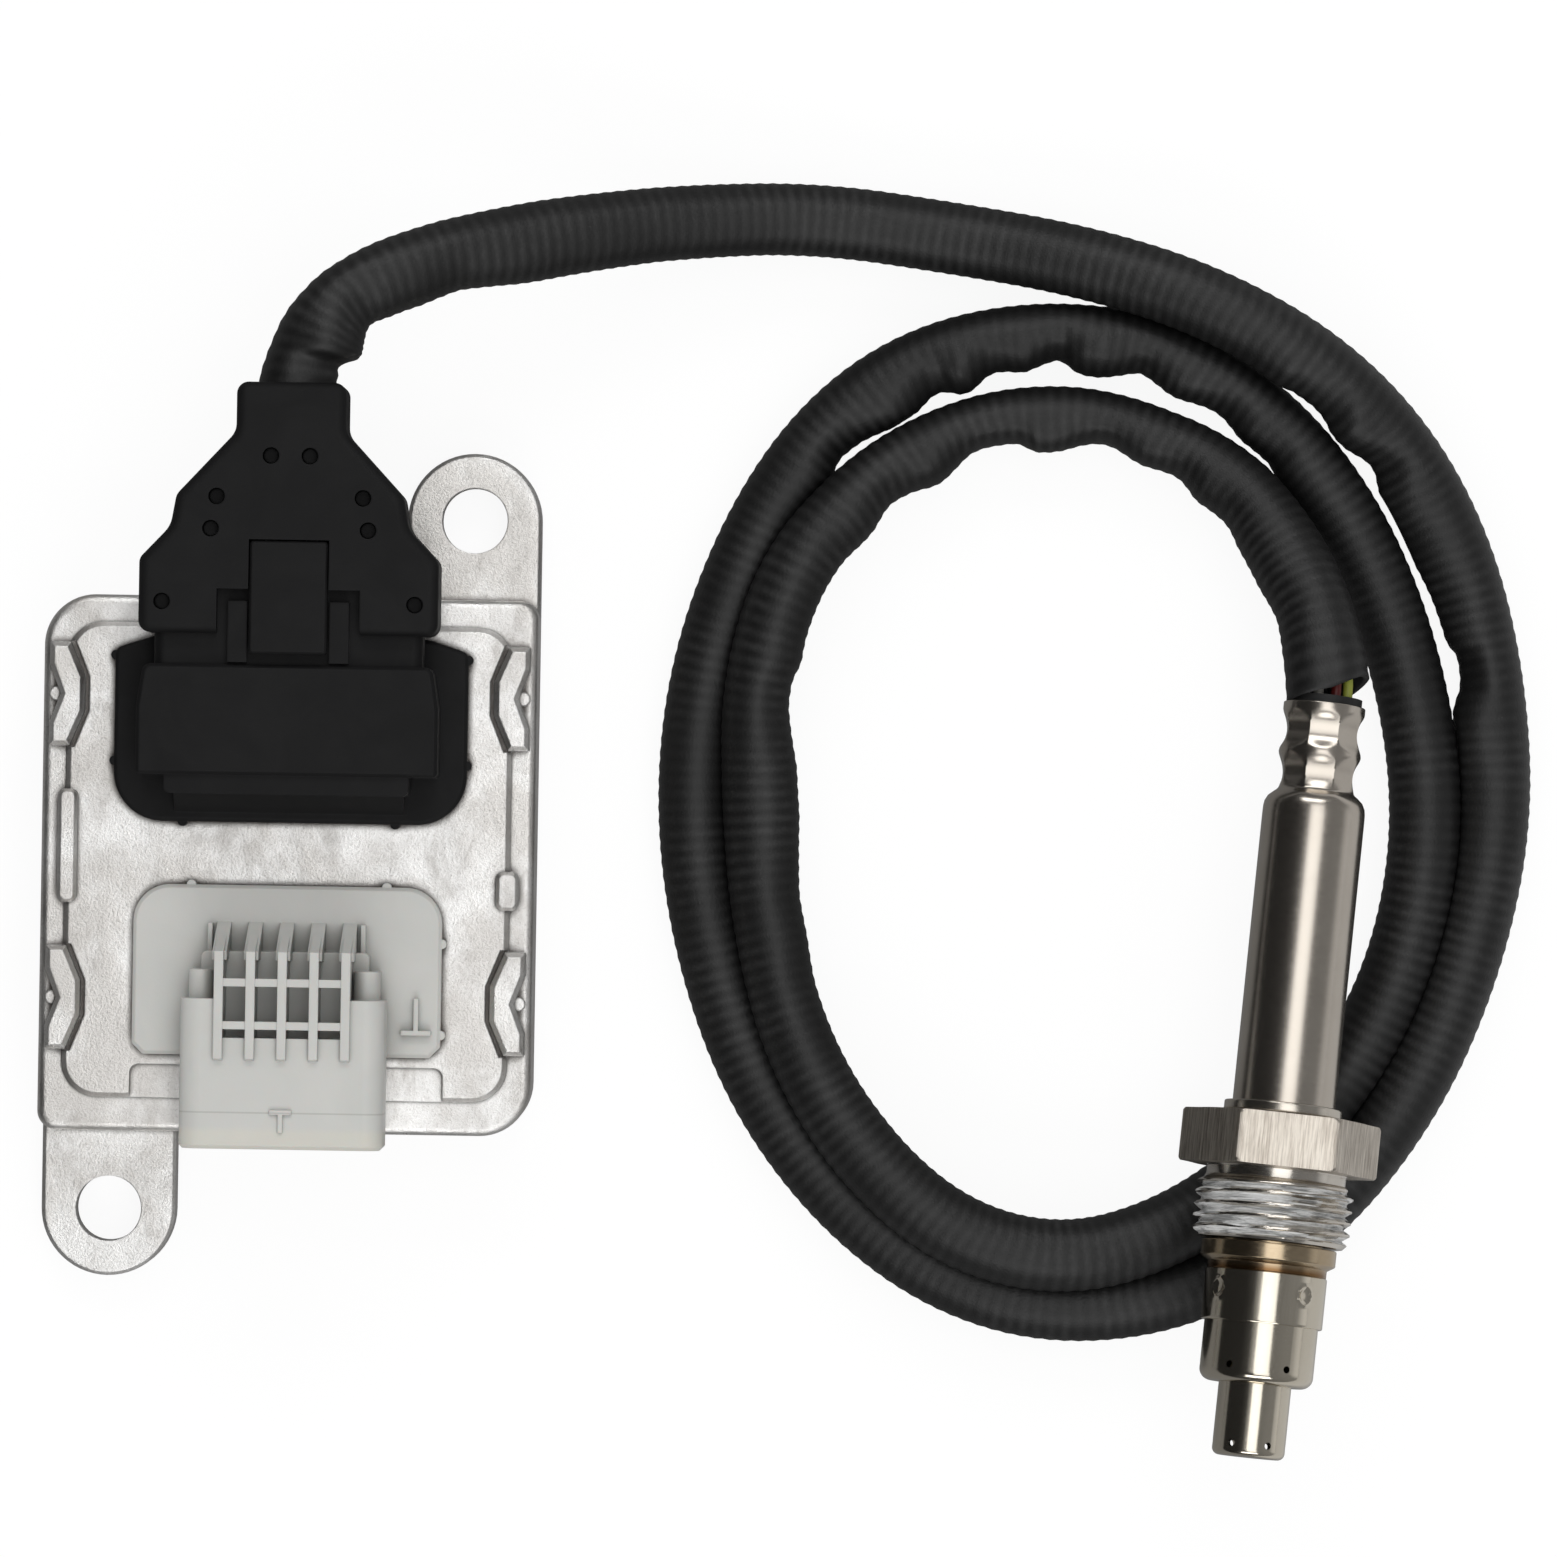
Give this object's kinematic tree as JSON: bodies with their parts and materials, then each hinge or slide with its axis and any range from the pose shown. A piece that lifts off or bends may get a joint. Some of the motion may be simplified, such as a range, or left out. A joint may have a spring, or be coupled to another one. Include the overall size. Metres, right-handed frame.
{
  "type": "nitrogen oxide sensor",
  "caption": "Screw-in exhaust gas probe on a coiled sleeved cable, plugged into a die-cast control module with a vehicle socket and mounting ears.",
  "frame": {"origin": "midway between the two mounting holes, on the face that is bolted down", "axes": "+Z out of the module's lid, +Y towards the cable plug, +X towards the coil"},
  "size_m": [0.1909, 0.1618, 0.0342],
  "materials": {
    "cast_aluminium": "die-cast, satin",
    "pressed_aluminium": "rolled sheet, satin",
    "black_moulding": "moulded, fine texture",
    "grey_moulding": "moulded, satin",
    "silicone_seal": "moulded",
    "black_rubber": "moulded",
    "board_laminate": "solder resist",
    "component_black": "moulded",
    "can_aluminium": "drawn",
    "zinc_steel": "zinc plated",
    "tinned_brass": "tin plated",
    "cable_sleeve": "extruded sleeve over stranded leads",
    "lead_red": "extruded",
    "lead_green": "extruded",
    "lead_white": "extruded",
    "lead_grey": "extruded",
    "stainless_steel": "turned and drawn, satin",
    "element_ceramic": "sintered",
    "talc": "pressed powder"
  },
  "bodies": {
    "root": {"module_housing": "cast_aluminium", "base_plate": "pressed_aluminium", "base_seal": "silicone_seal", "circuit_board": "board_laminate", "board_screws": "zinc_steel", "microcontroller": "component_black", "filter_capacitors": "can_aluminium", "heater_drivers": "component_black", "sensor_header": "black_moulding", "sensor_header_pins": "tinned_brass", "sensor_header_gasket": "silicone_seal", "vehicle_header": "grey_moulding", "vehicle_header_pins": "tinned_brass", "vehicle_header_gasket": "silicone_seal", "plug_body": "black_moulding", "plug_terminals": "tinned_brass", "plug_seal": "silicone_seal", "backshell_upper": "black_moulding", "backshell_lower": "black_moulding", "plug_leads": "lead_grey", "sensor_cable": "cable_sleeve", "lead_wires_red": "lead_red", "lead_wires_green": "lead_green", "lead_wires_white": "lead_white", "lead_wires_grey": "lead_grey", "wire_grommet": "black_rubber", "rear_sleeve": "stainless_steel", "contact_holder": "element_ceramic", "contact_springs": "zinc_steel", "sensing_element": "element_ceramic", "rear_insulator": "element_ceramic", "talc_packing": "talc", "front_insulator": "element_ceramic", "metal_shell": "stainless_steel", "nut_retaining_ring": "stainless_steel", "carrier_tube": "stainless_steel", "outer_protection_tube": "stainless_steel", "inner_protection_tube": "stainless_steel"},
    "gland_nut": {"gland_nut": "stainless_steel"}
  },
  "joints": [
    {"name": "gland_nut_turn", "type": "hinge", "parent": "root", "child": "gland_nut", "pos_m": [0.12675, -0.02968, 0.02208], "axis": [-0.0903, -0.9921, 0.0872], "continuous": true}
  ]
}
